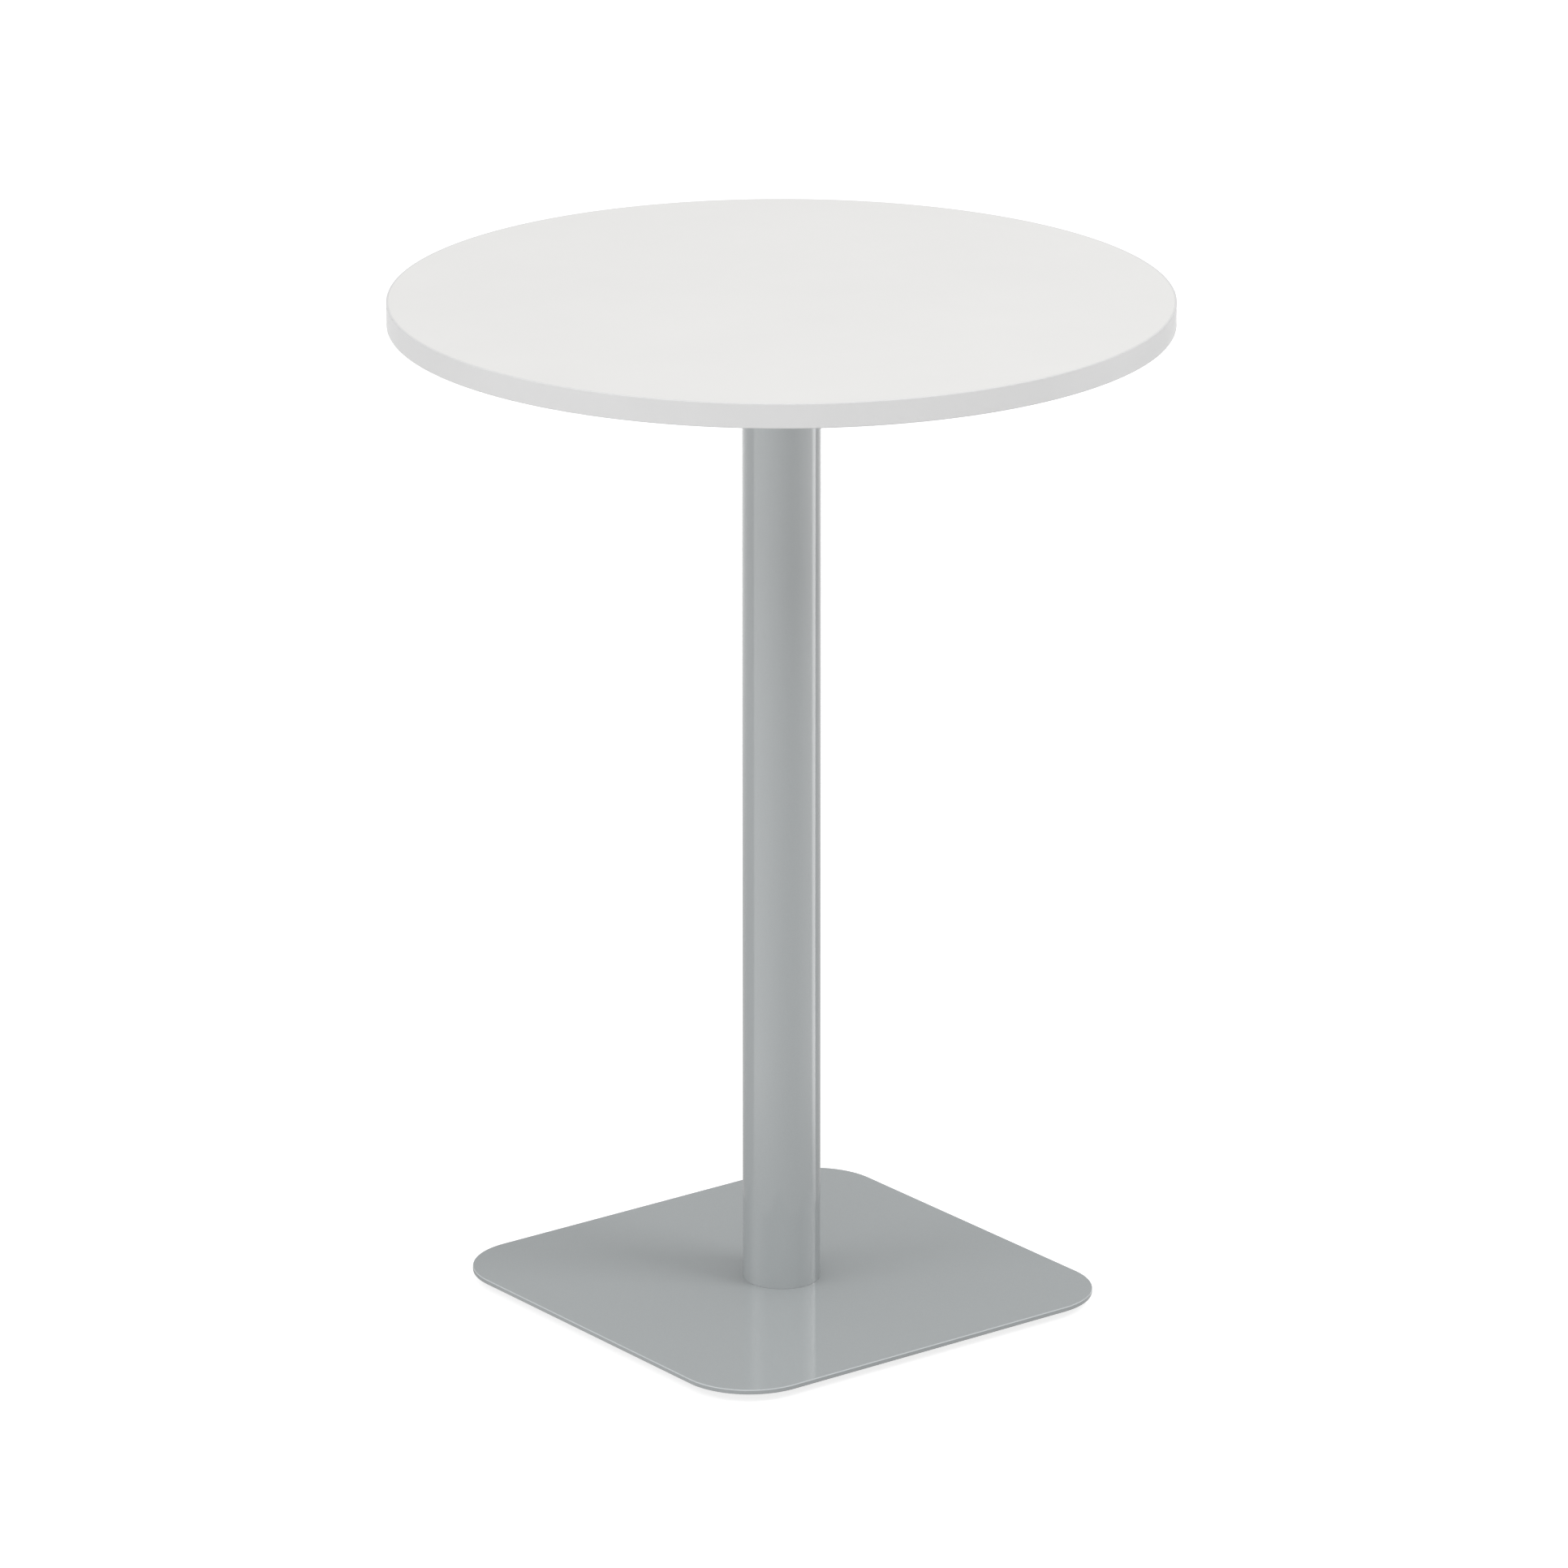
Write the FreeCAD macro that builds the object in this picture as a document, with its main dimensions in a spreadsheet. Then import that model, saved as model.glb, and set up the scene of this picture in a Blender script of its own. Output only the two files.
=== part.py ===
import FreeCAD, Part
import os
import re
import Sketcher

# High table: a round laminate-faced top on a round steel column and a flat square steel base,
# which stands on four levelling feet. Lengths are in millimetres, the floor is z = 0 and the
# table's axis is Z. The feet are modelled screwed home.

SIZES = (
    # whole table
    ("table_height", 1060, "floor to top face"),
    # top panel
    ("top_diameter", 790, "over the edge band"),
    ("top_thickness", 25, "laminate, core and backer together"),
    ("laminate_thickness", 0.8, "sheet on the top face"),
    ("backer_thickness", 0.8, "balancing sheet on the underside"),
    ("band_thickness", 2, "plastic edge band, radially"),
    ("band_edge_radius", 1, "trimmed edges of the band"),
    ("glue_gap", 0.05, "glue line between panel and band"),
    # threaded inserts, and the screws and washers that use them
    ("insert_diameter", 10, "over the insert's outer thread"),
    ("insert_length", 13, "along its axis"),
    ("insert_chamfer", 0.8, "lead-in at both ends"),
    ("insert_sink", 0.5, "below the panel's underside"),
    ("insert_fit", 0.05, "radial, insert to panel"),
    ("insert_relief", 1.5, "bore beyond the insert's end"),
    ("screw_diameter", 6, "mounting screw thread"),
    ("screw_reach", 10, "thread above the panel's underside"),
    ("screw_tip_chamfer", 0.6, "end of the thread"),
    ("screw_head_diameter", 10.5, "button head"),
    ("screw_head_height", 3.3, "button head"),
    ("screw_socket_width", 4, "across flats"),
    ("screw_socket_depth", 2, "from the crown"),
    ("screw_washer_diameter", 12, "outside"),
    ("screw_washer_thickness", 1.6, "flat washer"),
    # mounting plate under the top
    ("plate_side", 320, "square, side to side"),
    ("plate_thickness", 5, "steel sheet"),
    ("plate_corner_radius", 25, "in plan"),
    ("plate_hole_inset", 20, "screw axis to the plate's sides"),
    # column and the discs welded in its ends
    ("column_diameter", 80, "outside"),
    ("column_wall", 2, "tube wall"),
    ("disc_fit", 0.05, "radial, disc to tube"),
    ("disc_setback", 0.5, "disc face inside the tube's end"),
    ("top_disc_thickness", 8, "upper disc"),
    ("base_disc_thickness", 10, "lower disc"),
    ("vent_diameter", 16, "hole in the middle of each disc"),
    # bolts between the column and the two plates
    ("bolt_diameter", 8, "thread"),
    ("bolt_edge_distance", 14, "bolt axis to the tube's bore"),
    ("bolt_tip_chamfer", 0.8, "end of the thread"),
    ("top_bolt_reach", 6.5, "thread in the upper disc"),
    ("base_bolt_reach", 9, "thread in the lower disc"),
    ("flush_head_diameter", 16, "right-angled countersunk head"),
    ("flush_head_sink", 0.2, "below the mounting plate's face"),
    ("button_head_diameter", 14, "button head"),
    ("button_head_height", 4.4, "button head"),
    ("bolt_socket_width", 5, "across flats"),
    ("bolt_socket_depth", 2.6, "from the crown"),
    ("bolt_washer_diameter", 16, "outside"),
    ("bolt_washer_thickness", 1.6, "flat washer"),
    ("button_round_share", 0.75, "crown radius as a share of head height"),
    # clearances of the fasteners
    ("passing_clearance", 0.5, "radial, thread through a plate"),
    ("washer_clearance", 0.2, "radial, thread through a washer"),
    ("thread_clearance", 0.05, "radial, thread in its tapped hole"),
    ("seat_clearance", 0.05, "radial, countersunk head to its seat"),
    # base plate
    ("base_side", 500, "square, side to side"),
    ("base_thickness", 5, "steel plate"),
    ("base_corner_radius", 75, "in plan"),
    ("base_edge_radius", 1, "eased edges"),
    # levelling feet
    ("foot_height", 9, "floor to the base plate's underside"),
    ("foot_inset", 60, "foot axis to the plate's sides"),
    ("stud_diameter", 8, "thread of the welded stud"),
    ("stud_tip_chamfer", 0.6, "end of the thread"),
    ("weld_collar_diameter", 10.5, "upset metal around the stud"),
    ("weld_collar_height", 0.8, "upset metal around the stud"),
    ("hex_width", 15, "bush head across flats"),
    ("bush_diameter", 13, "bush body in the pad"),
    ("jam_clearance", 0.3, "bush head to plate and weld collar"),
    ("swivel_clearance", 0.3, "bush body to pad"),
    ("running_clearance", 0.05, "radial, bush bore to stud"),
    ("snap_depth", 0.9, "retaining groove of the bush"),
    ("snap_height", 1, "retaining lip of the pad"),
    ("pad_diameter", 34, "moulded pad"),
    ("pad_height", 5.5, "floor to the bush head"),
    ("pad_floor", 1.4, "sole under the bush"),
    ("pad_edge_radius", 1.2, "rounded rims of the pad"),
    # counts, and the overrun of every cut
    ("plate_turns", 4, "quarter turns of the screw pattern"),
    ("bolt_count", 4, "bolts at each end of the column"),
    ("cut_overrun", 1, "cuts run past the metal"),
)

# Levels and radii that several pieces share.
TOP_UNDERSIDE = "(table_height - top_thickness)"
PLATE_UNDERSIDE = f"({TOP_UNDERSIDE} - plate_thickness)"
BASE_TOP = "(foot_height + base_thickness)"
PANEL_RADIUS = "(top_diameter / 2 - band_thickness - glue_gap)"
INSERT_BORE = "(insert_diameter / 2 + insert_fit)"
SCREW_RADIUS = "(screw_diameter / 2)"
SCREW_OFFSET = "(plate_side / 2 - plate_hole_inset)"
TUBE_BORE = "(column_diameter / 2 - column_wall)"
BOLT_RADIUS = "(bolt_diameter / 2)"
BOLT_CIRCLE = f"({TUBE_BORE} - bolt_edge_distance)"
FOOT_OFFSET = "(base_side / 2 - foot_inset)"
STUD_RADIUS = "(stud_diameter / 2)"
STUD_TIP = "(pad_floor + swivel_clearance)"
BUSH_RADIUS = "(bush_diameter / 2)"
SNAP_MIDDLE = f"(({STUD_TIP} + pad_height) / 2)"

# Where the mounting screws stand before the quarter turns: one corner and one side.
SCREW_SPOTS = (("Corner", SCREW_OFFSET, SCREW_OFFSET), ("Side", SCREW_OFFSET, "0"))
FEET = (
    ("front_left", "-", "-"),
    ("front_right", "", "-"),
    ("rear_left", "-", ""),
    ("rear_right", "", ""),
)

# How a sketch numbers its own axes and the points of a line or circle.
FLAT_AXIS, UPRIGHT_AXIS = range(-1, -3, -1)
START, END, CENTRE = range(1, 4)

FULL_TURN = 360
SAME_SHARE = 1e-6
ALIASES = re.compile(r"\b(" + "|".join(name for name, _, _ in SIZES) + r")\b")

doc = FreeCAD.newDocument("HighTable")
sheet = doc.addObject("Spreadsheet::Sheet", "Sizes")
bodies = []


def fill_sheet():
    for row, (name, size, note) in enumerate(SIZES, start=1):
        sheet.set(f"A{row}", name)
        sheet.set(f"B{row}", str(size))
        sheet.set(f"C{row}", note)
        sheet.setAlias(f"B{row}", name)
    doc.recompute()


def value(text):
    return float(sheet.evalExpression(text))


def bind(target, name, text):
    target.setExpression(name, ALIASES.sub(r"Sizes.\1", text))


def origin_item(body, role):
    return next(item for item in body.Origin.OriginFeatures if item.Role == role)


def new_body(name, x="0", y="0", z="0"):
    body = doc.addObject("PartDesign::Body", name)
    body.Label = name
    for axis, text in zip("xyz", (x, y, z)):
        bind(body, f"Placement.Base.{axis}", text)
    bodies.append(body)
    return body


def new_sketch(body, name, plane, x="0", y="0", z="0"):
    sketch = body.newObject("Sketcher::SketchObject", name)
    sketch.AttachmentSupport = [(origin_item(body, plane), "")]
    sketch.MapMode = "FlatFace"
    for axis, text in zip("xyz", (x, y, z)):
        bind(sketch, f"AttachmentOffset.Base.{axis}", text)
    return sketch


def pin(sketch, item, end, x, y):
    for kind, text, axis in (("DistanceX", x, UPRIGHT_AXIS), ("DistanceY", y, FLAT_AXIS)):
        if text == "0":
            sketch.addConstraint(Sketcher.Constraint("PointOnObject", item, end, axis))
            continue
        rule = Sketcher.Constraint(kind, FLAT_AXIS, START, item, end, value(text))
        bind(sketch, f"Constraints[{sketch.addConstraint(rule)}]", text)


def add_circle(sketch, radius, x="0", y="0"):
    centre = FreeCAD.Vector(value(x), value(y), 0)
    item = sketch.addGeometry(Part.Circle(centre, FreeCAD.Vector(0, 0, 1), value(radius)), False)
    pin(sketch, item, CENTRE, x, y)
    rule = Sketcher.Constraint("Radius", item, value(radius))
    bind(sketch, f"Constraints[{sketch.addConstraint(rule)}]", radius)


def add_polygon(sketch, corners):
    points = [FreeCAD.Vector(value(x), value(y), 0) for x, y in corners]
    for item, point in enumerate(points):
        sketch.addGeometry(Part.LineSegment(point, points[(item + 1) % len(points)]), False)
    for item, (x, y) in enumerate(corners):
        following = (item + 1) % len(points)
        sketch.addConstraint(Sketcher.Constraint("Coincident", item, END, following, START))
        pin(sketch, item, START, x, y)


def square(side):
    half = f"{side} / 2"
    return ((f"-{half}", f"-{half}"), (half, f"-{half}"), (half, half), (f"-{half}", half))


def hexagon(width):
    far, near, flat = f"{width} / sqrt(3)", f"{width} / sqrt(3) / 2", f"{width} / 2"
    upper = ((far, "0"), (near, flat), (f"-{near}", flat))
    return upper + ((f"-{far}", "0"), (f"-{near}", f"-{flat}"), (near, f"-{flat}"))


def extrude(body, name, sketch, length):
    pad = body.newObject("PartDesign::Pad", name)
    pad.Profile = sketch
    bind(pad, "Length", length)
    return pad


def turned(body, kind, name, corners, x, y):
    sketch = new_sketch(body, f"{name}Profile", "XZ_Plane", x=x, z=f"-{y}")
    add_polygon(sketch, corners)
    feature = body.newObject(kind, name)
    feature.Profile = sketch
    feature.ReferenceAxis = (sketch, ["V_Axis"])
    feature.Angle = FULL_TURN
    return feature


def turn(body, name, corners, x="0", y="0"):
    return turned(body, "PartDesign::Revolution", name, corners, x, y)


def turn_cut(body, name, corners, x="0", y="0"):
    before = body.Shape.Volume
    groove = turned(body, "PartDesign::Groove", name, corners, x, y)
    doc.recompute()
    if groove.Shape.Volume >= before:
        raise RuntimeError(f"{body.Label}: {name} removes nothing")
    return groove


def drill(body, name, radius, depth, x="0", y="0"):
    doc.recompute()
    foot, far = "-cut_overrun", f"{depth} + cut_overrun"
    return turn_cut(body, name, (("0", foot), (radius, foot), (radius, far), ("0", far)), x, y)


def hex_socket(body, name, width, depth, level, x, y, upward):
    doc.recompute()
    before = body.Shape.Volume
    sketch = new_sketch(body, f"{name}Outline", "XY_Plane", x, y, level)
    add_polygon(sketch, hexagon(width))
    pocket = body.newObject("PartDesign::Pocket", name)
    pocket.Profile = sketch
    pocket.Reversed = upward
    bind(pocket, "Length", depth)
    doc.recompute()
    if pocket.Shape.Volume >= before:
        raise RuntimeError(f"{body.Label}: {name} removes nothing")
    return pocket


def around(body, name, features, count):
    pattern = body.newObject("PartDesign::PolarPattern", name)
    pattern.Originals = features
    pattern.Axis = (origin_item(body, "Z_Axis"), [""])
    pattern.Angle = FULL_TURN
    bind(pattern, "Occurrences", count)
    body.Tip = pattern
    return pattern


def round_edges(body, name, feature, chosen, radius):
    doc.recompute()
    names = [f"Edge{n}" for n, edge in enumerate(feature.Shape.Edges, start=1) if chosen(edge)]
    fillet = body.newObject("PartDesign::Fillet", name)
    fillet.Base = (feature, names)
    bind(fillet, "Radius", radius)
    body.Tip = fillet
    return fillet


def is_circle(edge, radius, level):
    if edge.Curve.TypeId != "Part::GeomCircle":
        return False
    off_radius = abs(edge.Curve.Radius - value(radius)) / value(radius)
    off_level = abs(edge.Curve.Center.z - value(level)) / value("table_height")
    return max(off_radius, off_level) < SAME_SHARE


def is_level(edge):
    return edge.BoundBox.ZLength < SAME_SHARE * value("table_height")


def is_upright(edge):
    return edge.BoundBox.ZLength > SAME_SHARE * value("table_height")


def disc(name, level, radius, thickness):
    body = new_body(name, z=level)
    sketch = new_sketch(body, "Outline", "XY_Plane")
    add_circle(sketch, radius)
    extrude(body, "Disc", sketch, thickness)
    return body


def drill_panel(body, depth):
    """Bores for the threaded inserts, from the underside."""
    bores = [drill(body, f"{spot}Bore", INSERT_BORE, depth, x, y) for spot, x, y in SCREW_SPOTS]
    around(body, "InsertBores", bores, "plate_turns")


def tabletop():
    depth = "(insert_sink + insert_length + insert_relief - backer_thickness - cut_overrun)"
    core_thickness = "(top_thickness - laminate_thickness - backer_thickness)"
    core = disc("tabletop_core", f"{TOP_UNDERSIDE} + backer_thickness", PANEL_RADIUS, core_thickness)
    drill_panel(core, depth)
    backer = disc("tabletop_backer", TOP_UNDERSIDE, PANEL_RADIUS, "backer_thickness")
    drill_panel(backer, "backer_thickness")
    disc("tabletop_laminate", "table_height - laminate_thickness", PANEL_RADIUS, "laminate_thickness")


def edge_band():
    body = new_body("edge_band", z=TOP_UNDERSIDE)
    sketch = new_sketch(body, "Ring", "XY_Plane")
    add_circle(sketch, "top_diameter / 2")
    add_circle(sketch, "top_diameter / 2 - band_thickness")
    ring = extrude(body, "Band", sketch, "top_thickness")

    def outer_rim(edge):
        return any(is_circle(edge, "top_diameter / 2", level) for level in ("0", "top_thickness"))

    round_edges(body, "TrimmedEdges", ring, outer_rim, "band_edge_radius")


def threaded_inserts():
    body = new_body("threaded_inserts", z=f"{TOP_UNDERSIDE} + insert_sink")
    bore, outside = f"{SCREW_RADIUS} + thread_clearance", "insert_diameter / 2"
    neck = f"{outside} - insert_chamfer"
    upper = "insert_length - insert_chamfer"
    section = (
        (bore, "0"),
        (neck, "0"),
        (outside, "insert_chamfer"),
        (outside, upper),
        (neck, "insert_length"),
        (bore, "insert_length"),
    )
    sleeves = [turn(body, f"{spot}Sleeve", section, x, y) for spot, x, y in SCREW_SPOTS]
    around(body, "Inserts", sleeves, "plate_turns")


def mounting_plate():
    body = new_body("mounting_plate", z=PLATE_UNDERSIDE)
    sketch = new_sketch(body, "Outline", "XY_Plane")
    add_polygon(sketch, square("plate_side"))
    sheet_metal = extrude(body, "SheetMetal", sketch, "plate_thickness")
    round_edges(body, "Corners", sheet_metal, is_upright, "plate_corner_radius")
    passing = f"{SCREW_RADIUS} + passing_clearance"
    holes = [drill(body, f"{s}Hole", passing, "plate_thickness", x, y) for s, x, y in SCREW_SPOTS]
    around(body, "ScrewHoles", holes, "plate_turns")
    doc.recompute()
    neck, mouth = f"({BOLT_RADIUS} + passing_clearance)", "(flush_head_diameter / 2 + seat_clearance)"
    rim = "(plate_thickness - flush_head_sink)"
    foot, far = "-cut_overrun", "plate_thickness + cut_overrun"
    section = (
        ("0", foot),
        (neck, foot),
        (neck, f"{rim} - ({mouth} - {neck})"),
        (mouth, rim),
        (mouth, far),
        ("0", far),
    )
    seat = turn_cut(body, "BoltSeat", section, BOLT_CIRCLE)
    around(body, "BoltSeats", [seat], "bolt_count")


def button_fastener(name, level, radius, head, socket, length, spots, count, tip):
    """Button-head screws pointing up: head is (radius, height), socket is (width, depth)."""
    body = new_body(name, z=level)
    head_radius, head_height = head
    section = (
        ("0", "0"),
        (head_radius, "0"),
        (head_radius, head_height),
        (radius, head_height),
        (radius, f"{length} - {tip}"),
        (f"{radius} - {tip}", length),
        ("0", length),
    )
    features = []
    for spot, x, y in spots:
        features.append(turn(body, f"{spot}Shank", section, x, y))
        features.append(hex_socket(body, f"{spot}Socket", *socket, "0", x, y, upward=True))
    pattern = around(body, "Set", features, count)

    def crown(edge):
        return is_circle(edge, head_radius, "0")

    round_edges(body, "Crowns", pattern, crown, f"{head_height} * button_round_share")


def washers(name, level, bore, outside, thickness, spots, count):
    body = new_body(name, z=level)
    section = ((bore, "0"), (outside, "0"), (outside, thickness), (bore, thickness))
    rings = [turn(body, f"{spot}Ring", section, x, y) for spot, x, y in spots]
    around(body, "Set", rings, count)


def mounting_fasteners():
    under_washer = f"({PLATE_UNDERSIDE} - screw_washer_thickness)"
    head = ("screw_head_diameter / 2", "screw_head_height")
    socket = ("screw_socket_width", "screw_socket_depth")
    length = "(screw_head_height + screw_washer_thickness + plate_thickness + screw_reach)"
    level = f"{under_washer} - screw_head_height"
    button_fastener("mounting_screws", level, SCREW_RADIUS, head, socket, length, SCREW_SPOTS,
                    "plate_turns", "screw_tip_chamfer")
    washers("mounting_washers", under_washer, f"{SCREW_RADIUS} + washer_clearance",
            "screw_washer_diameter / 2", "screw_washer_thickness", SCREW_SPOTS, "plate_turns")


def column_tube():
    body = new_body("column_tube", z=BASE_TOP)
    sketch = new_sketch(body, "Ring", "XY_Plane")
    add_circle(sketch, "column_diameter / 2")
    add_circle(sketch, TUBE_BORE)
    extrude(body, "Tube", sketch, f"{PLATE_UNDERSIDE} - {BASE_TOP}")


def end_disc(name, level, thickness):
    body = disc(name, level, f"{TUBE_BORE} - disc_fit", thickness)
    tapped = drill(body, "TappedHole", f"{BOLT_RADIUS} + thread_clearance", thickness, BOLT_CIRCLE)
    around(body, "TappedHoles", [tapped], "bolt_count")
    body.Tip = drill(body, "Vent", "vent_diameter / 2", thickness)


def column_bolts():
    level = f"{PLATE_UNDERSIDE} - disc_setback - top_bolt_reach"
    body = new_body("column_top_bolts", z=level)
    length = "(top_bolt_reach + disc_setback + plate_thickness - flush_head_sink)"
    head = "(flush_head_diameter / 2)"
    section = (
        ("0", "0"),
        (f"{BOLT_RADIUS} - bolt_tip_chamfer", "0"),
        (BOLT_RADIUS, "bolt_tip_chamfer"),
        (BOLT_RADIUS, f"{length} - ({head} - {BOLT_RADIUS})"),
        (head, length),
        ("0", length),
    )
    shank = turn(body, "Shank", section, BOLT_CIRCLE)
    socket = hex_socket(body, "Socket", "bolt_socket_width", "bolt_socket_depth", length,
                        BOLT_CIRCLE, "0", upward=False)
    around(body, "Set", [shank, socket], "bolt_count")

    spots = (("Bolt", BOLT_CIRCLE, "0"),)
    under_washer = "(foot_height - bolt_washer_thickness)"
    length = "(button_head_height + bolt_washer_thickness + base_thickness + disc_setback + base_bolt_reach)"
    button_fastener("column_base_bolts", f"{under_washer} - button_head_height", BOLT_RADIUS,
                    ("button_head_diameter / 2", "button_head_height"),
                    ("bolt_socket_width", "bolt_socket_depth"), length, spots,
                    "bolt_count", "bolt_tip_chamfer")
    washers("column_base_washers", under_washer, f"{BOLT_RADIUS} + washer_clearance",
            "bolt_washer_diameter / 2", "bolt_washer_thickness", spots, "bolt_count")


def base_plate():
    body = new_body("base_plate", z="foot_height")
    sketch = new_sketch(body, "Outline", "XY_Plane")
    add_polygon(sketch, square("base_side"))
    blank = extrude(body, "Blank", sketch, "base_thickness")
    corners = round_edges(body, "Corners", blank, is_upright, "base_corner_radius")
    round_edges(body, "EasedEdges", corners, is_level, "base_edge_radius")
    hole = drill(body, "BoltHole", f"{BOLT_RADIUS} + passing_clearance", "base_thickness", BOLT_CIRCLE)
    around(body, "BoltHoles", [hole], "bolt_count")


def foot_studs():
    body = new_body("foot_studs", z=STUD_TIP)
    length = f"(foot_height - {STUD_TIP})"
    collar = "weld_collar_diameter / 2"
    section = (
        ("0", "0"),
        (f"{STUD_RADIUS} - stud_tip_chamfer", "0"),
        (STUD_RADIUS, "stud_tip_chamfer"),
        (STUD_RADIUS, f"{length} - weld_collar_height"),
        (collar, f"{length} - weld_collar_height"),
        (collar, length),
        ("0", length),
    )
    stud = turn(body, "Stud", section, FOOT_OFFSET, FOOT_OFFSET)
    around(body, "Studs", [stud], "plate_turns")


def foot_bush(corner, x, y):
    """Hexagon head above the pad, grooved body inside it, bored for the stud."""
    body = new_body(f"foot_bush_{corner}", x, y)
    head_top = "(foot_height - jam_clearance)"
    sketch = new_sketch(body, "HeadOutline", "XY_Plane", z="pad_height")
    add_polygon(sketch, hexagon("hex_width"))
    extrude(body, "Head", sketch, f"{head_top} - pad_height")
    groove = f"{BUSH_RADIUS} - snap_depth"
    low = f"{SNAP_MIDDLE} - snap_height / 2 - swivel_clearance"
    high = f"{SNAP_MIDDLE} + snap_height / 2 + swivel_clearance"
    section = (
        ("0", STUD_TIP),
        (BUSH_RADIUS, STUD_TIP),
        (BUSH_RADIUS, low),
        (groove, low),
        (groove, high),
        (BUSH_RADIUS, high),
        (BUSH_RADIUS, "pad_height"),
        ("0", "pad_height"),
    )
    turn(body, "GroovedBody", section)
    doc.recompute()
    bore, collar_room = f"{STUD_RADIUS} + running_clearance", "weld_collar_diameter / 2 + jam_clearance"
    recess, far = f"{head_top} - weld_collar_height", f"{head_top} + cut_overrun"
    foot = f"{STUD_TIP} - cut_overrun"
    section = (
        ("0", foot),
        (bore, foot),
        (bore, recess),
        (collar_room, recess),
        (collar_room, far),
        ("0", far),
    )
    body.Tip = turn_cut(body, "Bore", section)


def foot_pad(corner, x, y):
    """Moulded cup whose inner lip snaps into the bush's groove."""
    body = new_body(f"foot_pad_{corner}", x, y)
    outside, bore = "pad_diameter / 2", f"{BUSH_RADIUS} + swivel_clearance"
    lip = f"{BUSH_RADIUS} - snap_depth + swivel_clearance"
    low, high = f"{SNAP_MIDDLE} - snap_height / 2", f"{SNAP_MIDDLE} + snap_height / 2"
    section = (
        ("0", "0"),
        (outside, "0"),
        (outside, "pad_height"),
        (bore, "pad_height"),
        (bore, high),
        (lip, high),
        (lip, low),
        (bore, low),
        (bore, "pad_floor"),
        ("0", "pad_floor"),
    )
    cup = turn(body, "Cup", section)

    def rim(edge):
        return any(is_circle(edge, outside, level) for level in ("0", "pad_height"))

    round_edges(body, "Rims", cup, rim, "pad_edge_radius")


fill_sheet()
tabletop()
edge_band()
threaded_inserts()
mounting_plate()
mounting_fasteners()
column_tube()
end_disc("column_top_disc", f"{PLATE_UNDERSIDE} - disc_setback - top_disc_thickness", "top_disc_thickness")
end_disc("column_base_disc", f"{BASE_TOP} + disc_setback", "base_disc_thickness")
column_bolts()
base_plate()
foot_studs()
for corner, x_sign, y_sign in FEET:
    foot_bush(corner, x_sign + FOOT_OFFSET, y_sign + FOOT_OFFSET)
    foot_pad(corner, x_sign + FOOT_OFFSET, y_sign + FOOT_OFFSET)
doc.recompute()

for item in doc.Objects:
    if "Invalid" in item.State or "Error" in item.State:
        raise RuntimeError(f"{item.Label} did not build: {item.State}")
os.makedirs("parts", exist_ok=True)
for body in bodies:
    shape = body.Shape
    if shape.isNull() or not shape.isValid() or not shape.Solids:
        raise RuntimeError(f"{body.Label} is not a sound solid")
    shape.exportStep(f"parts/{body.Label}.step")
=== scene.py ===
import bmesh
import bpy
import math
from mathutils import Matrix, Vector


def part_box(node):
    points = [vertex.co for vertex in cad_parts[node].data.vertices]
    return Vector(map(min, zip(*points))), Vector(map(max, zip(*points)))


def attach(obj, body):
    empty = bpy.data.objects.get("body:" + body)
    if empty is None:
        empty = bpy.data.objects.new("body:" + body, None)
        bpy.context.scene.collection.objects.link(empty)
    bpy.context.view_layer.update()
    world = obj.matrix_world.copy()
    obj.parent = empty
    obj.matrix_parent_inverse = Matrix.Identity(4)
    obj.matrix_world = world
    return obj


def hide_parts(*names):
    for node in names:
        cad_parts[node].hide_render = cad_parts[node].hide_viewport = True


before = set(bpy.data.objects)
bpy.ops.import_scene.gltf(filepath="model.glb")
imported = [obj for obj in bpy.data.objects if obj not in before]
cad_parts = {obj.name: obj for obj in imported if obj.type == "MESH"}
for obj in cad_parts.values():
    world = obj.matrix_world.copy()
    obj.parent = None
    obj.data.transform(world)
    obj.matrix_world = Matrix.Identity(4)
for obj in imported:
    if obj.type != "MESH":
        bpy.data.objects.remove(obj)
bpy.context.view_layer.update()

# The base plate: a laser-cut square of 5 mm steel with large corner radii and eased edges,
# powder coated silver all over. It lies on the levelling feet and is drilled for the column's bolts.
low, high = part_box("base_plate")
base_underside, base_top = low[2], high[2]
base_corner_radius, base_edge_radius, base_border = 0.075, 0.001, 0.004
bolt_circle, bolt_hole_radius = 0.024, 0.0045
bolt_spots = tuple((bolt_circle * x, bolt_circle * y) for x, y in ((1, 0), (0, 1), (-1, 0), (0, -1)))
tool_overrun = 0.001
outer_corner, smooth_limit = math.radians(60), math.radians(35)


def start_afresh():
    """Leaves edit mode and deselects everything, so that the next operator acts on its own piece alone."""
    if bpy.context.mode == "EDIT_MESH":
        bpy.ops.object.mode_set(mode="OBJECT")
    bpy.ops.object.select_all(action="DESELECT")


def start_piece(name):
    piece = bpy.context.object
    piece.name = piece.data.name = name
    bpy.ops.object.transform_apply(location=True, rotation=True, scale=True)
    bpy.ops.object.mode_set(mode="EDIT")
    return piece


def choose(kind, wanted):
    """In edit mode: selects the mesh parts of one kind that pass a test, and no others."""
    bpy.ops.mesh.select_mode(type=kind)
    bpy.ops.mesh.select_all(action="DESELECT")
    mesh = bmesh.from_edit_mesh(bpy.context.object.data)
    for part in {"EDGE": mesh.edges, "FACE": mesh.faces}[kind]:
        part.select_set(wanted(part))
    bmesh.update_edit_mesh(bpy.context.object.data)


def upright(edge):
    a, b = (v.co for v in edge.verts)
    return abs(a.z - b.z) > 1e-5 and (a - b).xy.length < 1e-6


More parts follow.
